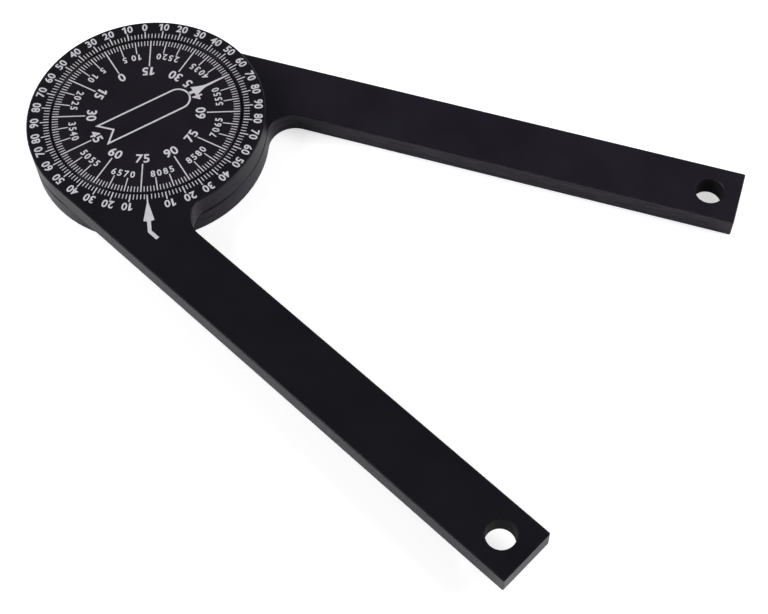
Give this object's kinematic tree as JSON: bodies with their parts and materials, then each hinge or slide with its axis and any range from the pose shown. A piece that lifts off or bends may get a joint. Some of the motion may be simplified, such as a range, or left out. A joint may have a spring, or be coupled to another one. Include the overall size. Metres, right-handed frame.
{
  "type": "bevel protractor",
  "caption": "Two flat arms that turn about a round graduated head to measure a corner and read the mitre or single cut angle; friction holds the setting.",
  "frame": {"origin": "where the pivot axis meets the lower arm's flat back face", "axes": "+Z along the pivot axis from the back towards the dial's face; +X along the lower arm from the pivot to its square end"},
  "size_m": [0.215, 0.1481, 0.0145],
  "materials": {
    "black_anodised": "black anodised, fine satin",
    "white_marking": "printed white ink, matte",
    "nylon": "moulded, dull black",
    "spring_steel": "bright rolled spring steel",
    "screw_steel": "bright zinc plated"
  },
  "bodies": {
    "base": {"base_arm": "black_anodised", "dial_disc": "black_anodised", "lower_slip_washer": "nylon", "upper_slip_washer": "nylon", "wave_washer": "spring_steel", "dial_screw_1": "screw_steel", "dial_screw_2": "screw_steel", "dial_screw_3": "screw_steel", "dial_screw_4": "screw_steel"},
    "scale": {"scale_arm": "black_anodised"}
  },
  "joints": [
    {"name": "arm_swing", "type": "hinge", "parent": "base", "child": "scale", "pos_m": [0, 0, 0], "axis": [0, 0, 1], "continuous": true}
  ]
}
